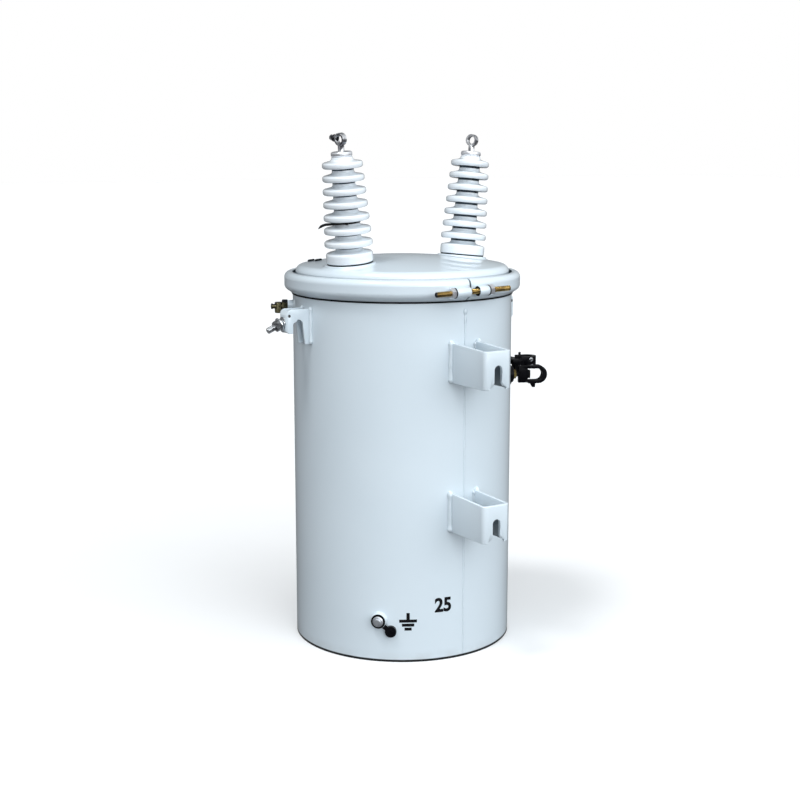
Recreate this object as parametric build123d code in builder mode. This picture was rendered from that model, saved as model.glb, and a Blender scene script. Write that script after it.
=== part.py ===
"""Pole mounted distribution transformer: round oil tank, clamped cover, bushings, hangers and fittings.

Millimetres. +Z is up and the tank stands on z = 0 with its axis on Z. The pole hangers face -Y, and
every bearing on the wall is an angle from -Y, counted anticlockwise seen from above.
"""

from build123d import *
from math import cos, radians, sin, sqrt, tan
import os

os.makedirs("parts", exist_ok=True)

# tank
tank_radius = 216.0
tank_height = 706.0
tank_wall = 2.5
floor_plate = 4.0
floor_recess = 14.0
rim_reach = 6.0
rim_thickness = 3.0
seam_width = 5.0
seam_proud = 1.0
seam_low_gap = 6.0

# cover, its gasket and its clamping band
gasket_thickness = 3.0
cover_sheet = 2.5
cover_flange_reach = 7.0
cover_wall_inset = 6.0
cover_wall_radius = tank_radius - cover_wall_inset
cover_wall_height = 33.0
cover_shoulder = 12.0
cover_crown = 20.0
band_reach = 16.0
band_drop = 16.0
band_low = tank_height - band_drop
band_height = 43.0
band_sheet = 2.5
band_corner = 11.0
band_lip = 20.3
band_gap = 4.0
seat_clearance = 0.2

# the band's draw bolt
sleeve_radius = 9.3
sleeve_gap = 18.5
sleeve_lengths = (31.5, 23.0)
sleeve_rise = 19.0
sleeve_height = band_low + sleeve_rise
draw_tilt = 1.5
rod_radius = 5.0
rod_clearance = 2.4
sleeve_bore_radius = rod_radius + rod_clearance
rod_length = 166.0
rod_nut_flats = 19.0
rod_nut_height = 9.0

# pole hangers
hanger_spacing = 285.75
hanger_drop = 124.0
hanger_slot_top = tank_height - hanger_drop
hanger_width = 60.0
hanger_height = 71.5
hanger_reach = 104.7
hanger_plate = 6.0
hanger_bend = 9.0
hanger_slot = 17.5
hanger_above_slot = 31.0
hanger_mouth = 11.0

# lifting lugs
lifting_width = 30.0
lifting_reach = 51.5
lifting_plate = 5.0
lifting_bend = 5.0
lifting_drop = 36.5
lifting_top = tank_height - lifting_drop
lifting_height = 67.5
lifting_hook = 37.0
lifting_leg = 16.0
lifting_leg_taper = 4.0
lifting_arch_radius = 10.5
lifting_arch_top = lifting_top - 19.5
lifting_lobe_low = lifting_top - 45.5
lifting_lobe_width = 8.0
lifting_corner = 13.0
lifting_hole_radius = 2.4

# bolt that hangs in each lifting lug's outer web
web_bolt_radius = 6.0
web_slot_clearance = 2.0
web_slot = 2 * web_bolt_radius + web_slot_clearance
web_slot_height = web_slot + 5
web_slot_centre = lifting_top - 25
web_bolt_length = 47.5
web_bolt_droop = 24.0
web_washer_radius = 13.0
web_washer_thickness = 2.5
web_inner_washer_radius = 9.5
web_nut_flats = 19.0
web_nut_height = 10.0

# high voltage bushings
cover_turn = 9.7
bushing_chord = 17.0
bushing_half_spacing = 149.0
bushing_tilt = 6.0
pad_rim = 5.0
pad_rise = 2.5
pad_round = 2.5
pad_depth = 12.0
bushing_gasket = 2.0
gasket_inset = 1.0
drum_radius = 44.5
pad_radius = drum_radius + pad_rim
drum_height = 17.0
drum_round = 6.0
drum_foot_round = 2.5
drum_slope = 11.0
shed_count = 7
shed_pitch = 24.3
shed_first = 36.7
shed_low_radius = 45.6
shed_high_radius = 38.2
shed_nose = 6.5
shed_slope = 24.0
shed_fillet = 2.5
core_low_radius = 25.0
core_high_radius = 20.0
core_above_sheds = 14.6
cap_radius = 20.0
cap_height = 9.5
cap_round = 3.5
stem_radius = 6.0
stem_height = 10.5
stem_seat = 2.0
eye_radius = 11.8
eye_hole_radius = 7.6
eye_width = 10.5
eye_turns = (0.0, 24.0)
clamp_bolt_radius = 4.2
clamp_bolt_length = 20.0
clamp_collar_radius = 7.0
clamp_collar_length = 5.0
clamp_lean = 9.0

# low voltage terminals
low_bearings = (65.0, 78.0, 91.0)
low_drops = (187.5, 169.0, 187.5)
low_flange_radius = 21.3
low_flange_thickness = 10.0
low_nut_flats = 16.0
low_nut_height = 6.0
low_stud_radius = 5.0
low_bar_start = 21.0
low_bar_height = 34.0
low_bar_thickness = 10.0
low_bar_length = 19.0
low_nose_height = 16.0
low_nose_length = 5.0
low_loop_length = 38.5
low_loop_height = 36.0
low_loop_band = 6.0
low_loop_end = 8.7
low_loop_width = 20.0
low_hole_radius = 4.75
low_hole_place = 26.0
low_leg_place = 10.0
low_leg_width = 12.0
low_leg_tip = 5.0
low_leg_drop = 9.0
low_leg_thickness = 9.0
low_stub_radius = 2.6
low_stub_place = 10.0
low_stub_reach = 5.5

# pressure relief valve
relief_bearing = -118.0
relief_below = 41.0
relief_height = tank_height - relief_below
relief_boss_radius = 9.0
relief_boss_length = 10.0
relief_base_flats = 18.0
relief_base_length = 12.7
relief_drop = 3.0
relief_body_radius = 6.5
relief_body_length = 14.5
relief_cap_flats = 14.0
relief_cap_reach = 14.7
relief_cap_chamfer = 2.0
relief_pin_radius = 2.8
relief_pin_length = 6.0
relief_ring_wire = 1.3

# ground terminal and drain plug
ground_bearing = -44.5
ground_height = 83.0
ground_boss_radius = 15.0
ground_boss_length = 9.0
ground_bolt_flats = 21.0
ground_head = 11.0
plug_bearing = -38.5
plug_height = 62.0
plug_radius = 10.0
plug_length = 8.0

# cable tie round the left bushing
tie_shed = 2
tie_width = 3.4
tie_thickness = 1.6
tie_gap = 0.4
tie_turn = 220.7
tie_straight = 38.0
tie_tail = 57.0
tie_drop = 9.0


def on_wall(bearing, height, radius=tank_radius):
    """Plane on the tank's wall: its Z points straight out and its Y points up."""
    turn = radians(bearing)
    outward = (sin(turn), -cos(turn), 0)
    sideways = (cos(turn), sin(turn), 0)
    return Plane(origin=(radius * sin(turn), -radius * cos(turn), height), x_dir=sideways, z_dir=outward)


def save(solid, name):
    solid.label = name
    export_step(solid, f"parts/{name}.step")


# ---------------------------------------------------------------- tank
with BuildPart() as tank_shell:
    with BuildSketch(Plane.XZ):
        with Locations((tank_radius - tank_wall, 0)):
            Rectangle(tank_wall, tank_height, align=(Align.MIN, Align.MIN))
        with Locations((tank_radius - tank_wall, tank_height - rim_thickness)):
            Rectangle(tank_wall + rim_reach, rim_thickness, align=(Align.MIN, Align.MIN))
    revolve(axis=Axis.Z)
save(tank_shell.part, "tank_shell")

with BuildPart() as tank_floor:
    with BuildSketch(Plane.XY.offset(floor_recess)):
        Circle(tank_radius - tank_wall)
    extrude(amount=floor_plate)
save(tank_floor.part, "tank_floor")

seam_top = band_low - seam_low_gap
with BuildPart() as tank_seam:
    with BuildSketch(Plane.XY.offset(seam_low_gap)):
        with Locations((0, -tank_radius)):
            Ellipse(seam_width / 2, seam_proud)
        Circle(tank_radius, mode=Mode.SUBTRACT)
    extrude(amount=seam_top - seam_low_gap)
save(tank_seam.part, "tank_seam")

# ---------------------------------------------------------------- cover
cover_seat = tank_height + gasket_thickness
cover_wall_top = cover_seat + cover_wall_height
cover_flange_radius = tank_radius + cover_flange_reach

with BuildPart() as cover_gasket:
    with BuildSketch(Plane.XY.offset(tank_height)):
        Circle(tank_radius + rim_reach)
        Circle(tank_radius - tank_wall, mode=Mode.SUBTRACT)
    extrude(amount=gasket_thickness)
save(cover_gasket.part, "cover_gasket")


def cover_height(radius):
    """Height of the cover's outside at a radius: a shallow dome over the shoulder."""
    return cover_wall_top + cover_crown * (1 - (radius / cover_wall_radius) ** 2)


bushing_spots = []
for side in (-1, 1):
    turn = radians(cover_turn)
    across, along = side * bushing_half_spacing, -bushing_chord
    x = across * cos(turn) - along * sin(turn)
    y = across * sin(turn) + along * cos(turn)
    bushing_spots.append((x, y, sqrt(x * x + y * y)))


def bushing_plane(spot, rise=0.0):
    """Plane on a bushing's seat, with its Z along the bushing's outward leaning axis."""
    x, y, radius = spot
    lean = radians(bushing_tilt)
    axis = (x / radius * sin(lean), y / radius * sin(lean), cos(lean))
    seat = cover_height(radius) + pad_rise
    origin = (x + axis[0] * rise, y + axis[1] * rise, seat + axis[2] * rise)
    side = (-y / radius, x / radius, 0)
    return Plane(origin=origin, x_dir=side, z_dir=axis)


with BuildPart() as pad:
    with BuildSketch():
        Circle(pad_radius)
    extrude(amount=-pad_depth)
    fillet(pad.edges().group_by(Axis.Z)[-1], radius=pad_round)

with BuildPart() as cover:
    with BuildSketch(Plane.XZ) as cover_section:
        with BuildLine():
            crown = (0, cover_wall_top + cover_crown)
            shoulder = (cover_wall_radius - cover_shoulder, cover_height(cover_wall_radius - cover_shoulder))
            halfway = (cover_wall_radius / 2, cover_height(cover_wall_radius / 2))
            dome = ThreePointArc(crown, halfway, shoulder)
            bend_end = (cover_wall_radius, shoulder[1] - cover_shoulder)
            TangentArc(shoulder, bend_end, tangent=dome % 1)
            Line(bend_end, (cover_wall_radius, cover_seat + cover_sheet))
            Line((cover_wall_radius, cover_seat + cover_sheet), (cover_flange_radius, cover_seat + cover_sheet))
            Line((cover_flange_radius, cover_seat + cover_sheet), (cover_flange_radius, cover_seat))
            Line((cover_flange_radius, cover_seat), (0, cover_seat))
            Line((0, cover_seat), crown)
        make_face()
    revolve(axis=Axis.Z)
    for spot in bushing_spots:
        add(pad.part.moved(Location(bushing_plane(spot))))
    inside_radius = cover_wall_radius - cover_sheet
    with BuildSketch(Plane.XZ):
        with BuildLine():
            low_crown = (0, cover_wall_top + cover_crown - cover_sheet)
            low_halfway = (inside_radius / 2, cover_height(inside_radius / 2) - cover_sheet)
            low_shoulder = (inside_radius - cover_shoulder, cover_height(inside_radius) - cover_sheet)
            ThreePointArc(low_crown, low_halfway, low_shoulder)
            Line(low_shoulder, (inside_radius, low_shoulder[1] - cover_shoulder))
            Line((inside_radius, low_shoulder[1] - cover_shoulder), (inside_radius, cover_seat))
            Line((inside_radius, cover_seat), (0, cover_seat))
            Line((0, cover_seat), low_crown)
        make_face()
    revolve(axis=Axis.Z, mode=Mode.SUBTRACT)
save(cover.part, "cover")

# ---------------------------------------------------------------- clamping band
band_radius = tank_radius + band_reach
band_top = band_low + band_height
lip_radius = band_radius - band_lip
with BuildPart() as cover_band:
    with BuildSketch(Plane.XZ):
        with BuildLine():
            FilletPolyline(
                (tank_radius + seat_clearance, band_low + band_sheet / 2),
                (band_radius - band_sheet / 2, band_low + band_corner),
                (band_radius - band_sheet / 2, band_top - band_sheet / 2),
                (lip_radius, band_top - band_sheet - 2),
                radius=band_corner - 1,
            )
        trace(line_width=band_sheet)
    revolve(axis=Axis.Z)
    Cylinder(tank_radius + seat_clearance, tank_height * 3, mode=Mode.SUBTRACT)
    with Locations((0, -band_radius, band_low)):
        Box(band_gap, band_reach * 3, band_height * 3, mode=Mode.SUBTRACT)
save(cover_band.part, "cover_band")

draw_line = sqrt(band_radius**2 - (sleeve_gap / 2) ** 2) + sleeve_radius + seat_clearance
rise = radians(draw_tilt)
draw_plane = Plane(origin=(0, -draw_line, sleeve_height), x_dir=(0, 1, 0), z_dir=(cos(rise), 0, sin(rise)))
for name, side, sleeve_length in zip(("left", "right"), (-1, 1), sleeve_lengths):
    with BuildPart() as sleeve:
        with BuildSketch(draw_plane.offset(side * sleeve_gap / 2)):
            Circle(sleeve_radius)
            Circle(sleeve_bore_radius, mode=Mode.SUBTRACT)
        extrude(amount=side * sleeve_length)
    save(sleeve.part, f"band_sleeve_{name}")

    with BuildPart() as rod_nut:
        with BuildSketch(draw_plane.offset(side * (sleeve_gap / 2 + sleeve_length))):
            RegularPolygon(rod_nut_flats / 2, 6, major_radius=False, rotation=30)
            Circle(rod_radius, mode=Mode.SUBTRACT)
        extrude(amount=side * rod_nut_height)
    save(rod_nut.part, f"band_nut_{name}")

with BuildPart() as draw_rod:
    with BuildSketch(draw_plane.offset(-rod_length / 2)):
        Circle(rod_radius)
    extrude(amount=rod_length)
    chamfer(draw_rod.edges().filter_by(GeomType.CIRCLE), length=1)
save(draw_rod.part, "band_rod")

# ---------------------------------------------------------------- pole hangers
hanger_face = tank_radius + hanger_reach
for name, drop in (("upper", 0), ("lower", hanger_spacing)):
    slot_top = hanger_slot_top - drop
    hanger_low = slot_top + hanger_above_slot - hanger_height
    with BuildPart() as hanger:
        with BuildSketch(Plane.XY.offset(hanger_low)):
            with BuildLine():
                half = (hanger_width - hanger_plate) / 2
                web = -hanger_face + hanger_plate / 2
                FilletPolyline((-half, 0), (-half, web), (half, web), (half, 0), radius=hanger_bend - hanger_plate / 2)
            trace(line_width=hanger_plate)
        extrude(amount=hanger_height)
        Cylinder(tank_radius, tank_height * 3, mode=Mode.SUBTRACT)
        arch_centre = slot_top - hanger_slot / 2
        with BuildSketch(Plane.XZ.offset(hanger_face)) as slot:
            with Locations((0, arch_centre)):
                Circle(hanger_slot / 2)
            with Locations((0, arch_centre)):
                Rectangle(hanger_slot, arch_centre - hanger_low, align=(Align.CENTER, Align.MAX))
        extrude(amount=-hanger_plate, mode=Mode.SUBTRACT)
        mouth = hanger.edges().filter_by(Axis.Y).group_by(Axis.Z)[0]
        corners = mouth.filter_by_position(Axis.X, -hanger_slot * 0.6, hanger_slot * 0.6)
        fillet(corners, radius=hanger_mouth)
    save(hanger.part, f"hanger_{name}")

# ---------------------------------------------------------------- lifting lugs
lifting_face = tank_radius + lifting_reach
lifting_low = lifting_top - lifting_height
hook_low = lifting_top - lifting_hook
leg_face = tank_radius + lifting_leg
for name, side in (("left", -1), ("right", 1)):
    with BuildPart() as lifting_lug:
        with BuildSketch(Plane(origin=(0, 0, lifting_low), x_dir=(side, 0, 0), z_dir=(0, 0, 1))):
            with BuildLine():
                half = (lifting_width - lifting_plate) / 2
                web = lifting_face - lifting_plate / 2
                FilletPolyline((0, -half), (web, -half), (web, half), (0, half), radius=lifting_bend)
            trace(line_width=lifting_plate)
        extrude(amount=lifting_height)
        Cylinder(tank_radius, tank_height * 3, mode=Mode.SUBTRACT)
        with BuildSketch(Plane.XZ.offset(-lifting_width)):
            with BuildLine():
                lobe_face = leg_face + 2 * lifting_arch_radius
                arch_height = lifting_arch_top - lifting_arch_radius
                Polyline(
                    (side * leg_face, arch_height),
                    (side * (leg_face - lifting_leg_taper), lifting_low),
                    (side * (lifting_face + lifting_plate), lifting_low),
                    (side * (lifting_face + lifting_plate), hook_low),
                    (side * (lobe_face + lifting_lobe_width), lifting_lobe_low),
                    (side * lobe_face, lifting_lobe_low),
                    (side * lobe_face, arch_height),
                    close=True,
                )
            make_face()
            with Locations((side * (leg_face + lifting_arch_radius), arch_height)):
                Circle(lifting_arch_radius)
            with Locations((side * (lifting_face - lifting_corner / 2), lifting_top - lifting_corner / 2)):
                Rectangle(lifting_corner, lifting_corner)
            with Locations((side * (lifting_face - lifting_corner), lifting_top - lifting_corner)):
                Circle(lifting_corner, mode=Mode.SUBTRACT)
        extrude(amount=lifting_width * 2, mode=Mode.SUBTRACT)
        with BuildSketch(Plane.XZ.offset(-lifting_width)):
            with Locations((side * (lifting_face - lifting_corner / 2), lifting_top - lifting_corner + 1)):
                Circle(lifting_hole_radius)
        extrude(amount=lifting_width * 2, mode=Mode.SUBTRACT)
        with BuildSketch(Plane.YZ.offset(side * lifting_face)):
            with Locations((0, web_slot_centre)):
                SlotOverall(web_slot_height, web_slot, rotation=90)
        extrude(amount=-side * lifting_plate, mode=Mode.SUBTRACT)
    save(lifting_lug.part, f"lifting_lug_{name}")

# the left lug's outer web carries a loose bolt with its nut and washers
droop = radians(web_bolt_droop)
bolt_axis = (-cos(droop), 0, -sin(droop))
pivot = Plane(origin=(-lifting_face, 0, web_slot_centre), x_dir=(0, 1, 0), z_dir=bolt_axis)
washer_seat = web_washer_radius * tan(droop) + seat_clearance
head_seat = -(lifting_plate + web_inner_washer_radius * sin(droop)) / cos(droop) - seat_clearance
with BuildPart() as web_washers:
    with BuildSketch(pivot.offset(washer_seat)):
        Circle(web_washer_radius)
        Circle(web_bolt_radius, mode=Mode.SUBTRACT)
    extrude(amount=web_washer_thickness)
    with BuildSketch(pivot.offset(head_seat)):
        Circle(web_inner_washer_radius)
        Circle(web_bolt_radius, mode=Mode.SUBTRACT)
    extrude(amount=-web_washer_thickness)
save(web_washers.part, "lug_washers")

with BuildPart() as web_bolt:
    with BuildSketch(pivot.offset(head_seat - web_washer_thickness)):
        Circle(web_bolt_radius)
    extrude(amount=web_bolt_length)
    with BuildSketch(pivot.offset(head_seat - web_washer_thickness)):
        RegularPolygon(web_nut_flats / 2 - 1, 6, major_radius=False)
    extrude(amount=-6)
save(web_bolt.part, "lug_bolt")

with BuildPart() as web_nut:
    with BuildSketch(pivot.offset(washer_seat + web_washer_thickness)):
        RegularPolygon(web_nut_flats / 2, 6, major_radius=False)
        Circle(web_bolt_radius, mode=Mode.SUBTRACT)
    extrude(amount=web_nut_height)
save(web_nut.part, "lug_nut")

# ---------------------------------------------------------------- high voltage bushings
drum_top = drum_height + drum_slope
top_shed = shed_first + (shed_count - 1) * shed_pitch
porcelain_top = top_shed + core_above_sheds


def core_radius(height):
    share = (height - drum_top) / (porcelain_top - drum_top)
    return core_low_radius + (core_high_radius - core_low_radius) * share


with BuildPart() as porcelain:
    with BuildSketch(Plane.XZ) as half_profile:
        with BuildLine():
            Polyline(
                (0, 0),
                (drum_radius, 0),
                (drum_radius, drum_height),
                (core_low_radius, drum_top),
                (core_high_radius, porcelain_top),
                (0, porcelain_top),
                close=True,
            )
        make_face()
        lean = radians(shed_slope)
        for index in range(shed_count):
            height = shed_first + index * shed_pitch
            share = index / (shed_count - 1)
            nose = shed_low_radius + (shed_high_radius - shed_low_radius) * share - shed_nose
            inside = core_radius(height) - 2
            crest = (nose + shed_nose * sin(lean), height + shed_nose * cos(lean))
            root = (inside, crest[1] + (crest[0] - inside) * tan(lean))
            with BuildLine():
                under = Line((inside, height - shed_nose), (nose, height - shed_nose))
                TangentArc(under @ 1, crest, tangent=under % 1)
                Line(crest, root)
                Line(root, (inside, height - shed_nose))
            make_face()
        roots = half_profile.vertices().filter_by(
            lambda corner: abs(corner.X - core_radius(corner.Z)) < 0.01 and drum_top < corner.Z < porcelain_top
        )
        fillet(roots, radius=1.5)
    revolve(axis=Axis.Z)
    drum_edges = porcelain.edges().filter_by(GeomType.CIRCLE).filter_by(
        lambda edge: abs(edge.radius - drum_radius) < 0.01
    )
    fillet(drum_edges.sort_by(Axis.Z)[-1], radius=drum_round)
    fillet(drum_edges.sort_by(Axis.Z)[0], radius=drum_foot_round)

with BuildPart() as terminal:
    with BuildSketch(Plane.XY.offset(porcelain_top)):
        Circle(cap_radius)
    extrude(amount=cap_height)
    fillet(terminal.edges().group_by(Axis.Z)[-1], radius=cap_round)
    fillet(terminal.edges().group_by(Axis.Z)[0], radius=cap_round)
    eye_height = porcelain_top + cap_height + stem_height + eye_radius
    with BuildSketch(Plane.XY.offset(porcelain_top + cap_height)):
        Circle(stem_radius)
    extrude(amount=stem_height + stem_seat)
    with BuildSketch(Plane.XZ.offset(-eye_width / 2)):
        with Locations((0, eye_height)):
            Circle(eye_radius)
    extrude(amount=eye_width)
    with BuildSketch(Plane.XZ.offset(-eye_width)):
        with Locations((0, eye_height)):
            Circle(eye_hole_radius)
    extrude(amount=eye_width * 2, mode=Mode.SUBTRACT)

clamp_turn = radians(clamp_lean)
clamp_axis = (-cos(clamp_turn), 0, sin(clamp_turn))
clamp_plane = Plane(origin=(0, 0, eye_height), x_dir=(0, 1, 0), z_dir=clamp_axis)
with BuildPart() as clamped_terminal:
    add(terminal.part)
    with BuildSketch(clamp_plane):
        Circle(clamp_bolt_radius + seat_clearance)
    extrude(amount=eye_radius + 1, mode=Mode.SUBTRACT)

with BuildPart() as clamp_screw:
    with BuildSketch(clamp_plane.offset(eye_hole_radius + seat_clearance)):
        Circle(clamp_bolt_radius)
    extrude(amount=clamp_bolt_length - seat_clearance)
    with BuildSketch(clamp_plane.offset(eye_radius + seat_clearance)):
        Circle(clamp_collar_radius)
    extrude(amount=clamp_collar_length)

with BuildPart() as seat_gasket:
    with BuildSketch(Plane.XY.offset(-bushing_gasket)):
        Circle(drum_radius - gasket_inset)
        Circle(core_high_radius, mode=Mode.SUBTRACT)
    extrude(amount=bushing_gasket)

for name, spot, eye, turn in zip(("left", "right"), bushing_spots, (clamped_terminal, terminal), eye_turns):
    seat = Location(bushing_plane(spot, bushing_gasket))
    save(seat_gasket.part.moved(seat), f"bushing_gasket_{name}")
    save(porcelain.part.moved(seat), f"bushing_{name}")
    save(eye.part.rotate(Axis.Z, turn).moved(seat), f"bushing_terminal_{name}")

# the clamp screw is fitted in the left terminal, the cable tie is pulled round the left bushing
left_seat = Location(bushing_plane(bushing_spots[0], bushing_gasket))
save(clamp_screw.part.moved(left_seat), "bushing_screw_left")

tie_low = shed_first + tie_shed * shed_pitch - shed_nose - tie_gap - tie_width
tie_radius = core_radius(tie_low) + seat_clearance
tail_turn = radians(tie_turn)
tail_plane = Plane(
    origin=(0, 0, tie_low + tie_width / 2),
    x_dir=(cos(tail_turn), sin(tail_turn), 0),
    z_dir=(sin(tail_turn), -cos(tail_turn), 0),
)
with BuildPart() as tie:
    with BuildSketch(Plane.XY.offset(tie_low)):
        Circle(tie_radius + tie_thickness)
        Circle(tie_radius, mode=Mode.SUBTRACT)
    extrude(amount=tie_width)
    with BuildSketch(tail_plane.offset(-tie_radius - tie_thickness)):
        with BuildLine():
            straight = Line((0, 0), (tie_straight, 0))
            TangentArc(straight @ 1, (tie_tail, -tie_drop), tangent=straight % 1)
        trace(line_width=tie_width)
    extrude(amount=tie_thickness)
save(tie.part.moved(left_seat), "bushing_tie")

# ---------------------------------------------------------------- low voltage terminals
loop_start = low_bar_start + low_bar_length
low_names = ("front", "middle", "rear")
for name, bearing, low_drop, turned in zip(low_names, low_bearings, low_drops, (False, True, False)):
    wall = on_wall(bearing, tank_height - low_drop)
    with BuildPart() as low_flange:
        with BuildSketch(wall.offset(-tank_wall)):
            Circle(low_flange_radius)
        extrude(amount=tank_wall + low_flange_thickness)
        Cylinder(tank_radius, tank_height * 3, mode=Mode.SUBTRACT)
        fillet(low_flange.edges().filter_by(GeomType.CIRCLE), radius=1.5)
    save(low_flange.part, f"low_insulator_{name}")

    with BuildPart() as low_nut:
        with BuildSketch(wall.offset(low_flange_thickness)):
            RegularPolygon(low_nut_flats / 2, 6, major_radius=False)
        extrude(amount=low_nut_height)
    save(low_nut.part, f"low_nut_{name}")

    # the loop stands upright; the middle one is turned a quarter round its own axis
    upright = wall.x_dir if turned else wall.y_dir
    loop_plane = Plane(origin=wall.origin, x_dir=wall.z_dir, z_dir=wall.z_dir.cross(upright))
    with BuildPart() as low_eye:
        with BuildSketch(wall.offset(low_flange_thickness + low_nut_height)):
            Circle(low_stud_radius)
        extrude(amount=loop_start - low_flange_thickness - low_nut_height)
        with BuildSketch(loop_plane.offset(-low_bar_thickness / 2)):
            with Locations((low_bar_start, 0)):
                Rectangle(low_bar_length, low_bar_height, align=(Align.MIN, Align.CENTER))
        extrude(amount=low_bar_thickness)
        with BuildSketch(loop_plane.offset(-low_loop_width / 2)):
            bend = low_loop_length - low_loop_height / 2
            with Locations((loop_start, 0)):
                Rectangle(bend, low_loop_height, align=(Align.MIN, Align.CENTER))
            with Locations((loop_start + bend, 0)):
                Circle(low_loop_height / 2)
        extrude(amount=low_loop_width)
        with BuildSketch(loop_plane.offset(-low_loop_width)):
            opening_height = low_loop_height - 2 * low_loop_band
            opening_bend = low_loop_length - low_loop_end - opening_height / 2
            with Locations((loop_start, 0)):
                Rectangle(opening_bend, opening_height, align=(Align.MIN, Align.CENTER))
            with Locations((loop_start + opening_bend, 0)):
                Circle(opening_height / 2)
        extrude(amount=low_loop_width * 2, mode=Mode.SUBTRACT)
        with BuildSketch(loop_plane.offset(-low_bar_thickness / 2)):
            with Locations((loop_start - 1, 0)):
                Rectangle(low_nose_length + 1, low_nose_height, align=(Align.MIN, Align.CENTER))
        extrude(amount=low_bar_thickness)
        with BuildSketch(loop_plane.offset(-low_leg_thickness / 2)):
            leg = loop_start + low_leg_place
            leg_foot = -low_loop_height / 2
            with BuildLine():
                Polyline(
                    (leg - low_leg_width / 2, leg_foot + 1),
                    (leg + low_leg_width / 2, leg_foot + 1),
                    (leg + low_leg_tip, leg_foot - low_leg_drop),
                    (leg, leg_foot - low_leg_drop),
                    close=True,
                )
            make_face()
        extrude(amount=low_leg_thickness)
        with BuildSketch(loop_plane):
            with Locations((loop_start + low_stub_place, low_loop_height / 2 - low_loop_band / 2)):
                Circle(low_stub_radius)
        extrude(amount=low_loop_width / 2 + low_stub_reach)
        hole_foot = loop_plane.from_local_coords((loop_start + low_hole_place, -low_loop_height, 0))
        with BuildSketch(Plane(origin=hole_foot, z_dir=loop_plane.y_dir)):
            Circle(low_hole_radius)
        extrude(amount=low_loop_height * 2, mode=Mode.SUBTRACT)
    save(low_eye.part, f"low_eye_{name}")

# ---------------------------------------------------------------- pressure relief valve
relief = on_wall(relief_bearing, relief_height)
with BuildPart() as relief_boss:
    with BuildSketch(relief.offset(-tank_wall)):
        Circle(relief_boss_radius)
    extrude(amount=tank_wall + relief_boss_length)
    Cylinder(tank_radius, tank_height * 3, mode=Mode.SUBTRACT)
save(relief_boss.part, "relief_boss")

neck = relief_boss_length + relief_base_length
with BuildPart() as relief_valve:
    with BuildSketch(relief.offset(relief_boss_length)):
        RegularPolygon(relief_base_flats / 2, 6, major_radius=False)
    extrude(amount=relief_base_length)
    with BuildSketch(relief.offset(neck)):
        with Locations((0, -relief_drop)):
            Circle(relief_body_radius)
    extrude(amount=relief_body_length)
    with BuildSketch(relief.offset(neck + relief_body_length)):
        with Locations((0, -relief_drop)):
            Circle(relief_pin_radius)
    extrude(amount=relief_pin_length)
    cap_place = relief.from_local_coords((0, -relief_drop - relief_cap_reach, neck + relief_body_length / 2))
    with BuildSketch(Plane(origin=cap_place, x_dir=relief.x_dir, z_dir=(0, 0, 1))):
        RegularPolygon(relief_cap_flats / 2, 6, major_radius=False)
    extrude(amount=relief_cap_reach)
    chamfer(relief_valve.faces().sort_by(Axis.Z)[0].edges(), length=relief_cap_chamfer)
save(relief_valve.part, "relief_valve")

with BuildPart() as relief_ring:
    ring_place = (0, -relief_drop, neck + relief_body_length + relief_pin_length - relief_ring_wire)
    ring_centre = relief.from_local_coords(ring_place)
    with BuildSketch(Plane(origin=ring_centre, x_dir=relief.x_dir, z_dir=relief.y_dir)):
        with Locations((relief_pin_radius + seat_clearance + relief_ring_wire, 0)):
            Circle(relief_ring_wire)
    revolve(axis=Axis(ring_centre, relief.z_dir))
save(relief_ring.part, "relief_ring")

# ---------------------------------------------------------------- ground terminal and drain plug
ground = on_wall(ground_bearing, ground_height)
with BuildPart() as ground_boss:
    with BuildSketch(ground.offset(-tank_wall)):
        Circle(ground_boss_radius)
    extrude(amount=tank_wall + ground_boss_length)
    Cylinder(tank_radius, tank_height * 3, mode=Mode.SUBTRACT)
save(ground_boss.part, "ground_boss")

with BuildPart() as ground_bolt:
    with BuildSketch(ground.offset(ground_boss_length)):
        RegularPolygon(ground_bolt_flats / 2, 6, major_radius=False)
    extrude(amount=ground_head)
save(ground_bolt.part, "ground_bolt")

plug = on_wall(plug_bearing, plug_height)
with BuildPart() as drain_plug:
    with BuildSketch(plug.offset(-tank_wall)):
        Circle(plug_radius)
    extrude(amount=tank_wall + plug_length)
    Cylinder(tank_radius, tank_height * 3, mode=Mode.SUBTRACT)
save(drain_plug.part, "drain_plug")
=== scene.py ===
import math

import bmesh
import bpy
from mathutils import Matrix, Vector, noise
from mathutils.bvhtree import BVHTree


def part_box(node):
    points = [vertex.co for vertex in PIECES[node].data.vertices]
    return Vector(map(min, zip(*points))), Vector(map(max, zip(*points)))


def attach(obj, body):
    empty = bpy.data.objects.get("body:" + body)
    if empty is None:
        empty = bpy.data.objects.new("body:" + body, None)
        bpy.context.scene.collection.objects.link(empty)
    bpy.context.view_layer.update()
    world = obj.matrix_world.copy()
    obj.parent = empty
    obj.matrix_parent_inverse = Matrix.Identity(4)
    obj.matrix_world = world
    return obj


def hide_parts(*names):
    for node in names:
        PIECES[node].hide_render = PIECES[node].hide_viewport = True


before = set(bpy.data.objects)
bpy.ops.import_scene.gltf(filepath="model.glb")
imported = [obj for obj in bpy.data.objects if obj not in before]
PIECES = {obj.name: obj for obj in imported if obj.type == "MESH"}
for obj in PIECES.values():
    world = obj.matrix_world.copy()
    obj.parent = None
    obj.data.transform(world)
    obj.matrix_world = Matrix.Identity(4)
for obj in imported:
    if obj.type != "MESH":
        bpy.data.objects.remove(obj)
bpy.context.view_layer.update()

# Pole mounted transformer. Metres, in the CAD frame: +Z up, the hangers face -Y, and a bearing is an angle
# in degrees from -Y, counted anticlockwise seen from above.
MM = 0.001
TAU = 2 * math.pi
TANK_RADIUS = 216 * MM

# every run draws the same drift of the weld beads from this seed
WELD_SEED = 1

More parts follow.
